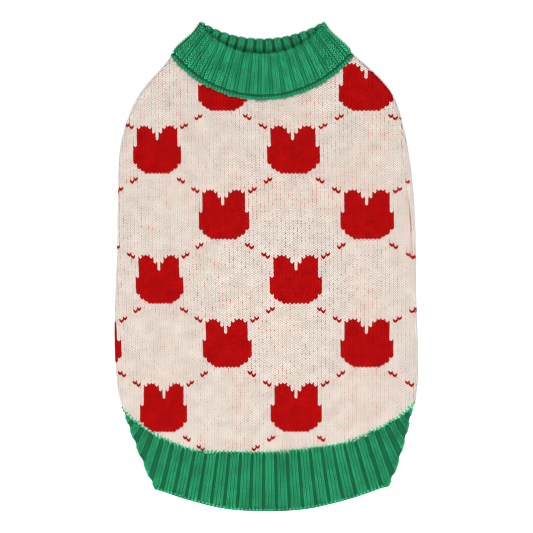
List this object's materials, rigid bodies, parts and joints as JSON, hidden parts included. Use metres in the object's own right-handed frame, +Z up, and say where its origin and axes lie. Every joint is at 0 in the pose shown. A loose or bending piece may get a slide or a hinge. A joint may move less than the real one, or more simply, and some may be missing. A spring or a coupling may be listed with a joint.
{
  "type": "cat sweater",
  "caption": "Sleeveless pet sweater in two-colour knit with a folded neck rib, a curved hem rib and ribbed leg holes, laid out flat on its belly.",
  "frame": {"origin": "middle of the outline, on the surface the sweater lies on", "axes": "+X across the back, +Y towards the neck, +Z up out of the back"},
  "size_m": [0.2068, 0.333, 0.0148],
  "materials": {
    "cream_knit": "jacquard knit, cream with red motifs",
    "green_rib": "ribbed knit"
  },
  "bodies": {
    "root": {"back_panel": "cream_knit", "belly_panel": "cream_knit", "hem_rib": "green_rib", "neck_rib": "green_rib", "leg_band_left": "green_rib", "leg_band_right": "green_rib"}
  },
  "joints": []
}
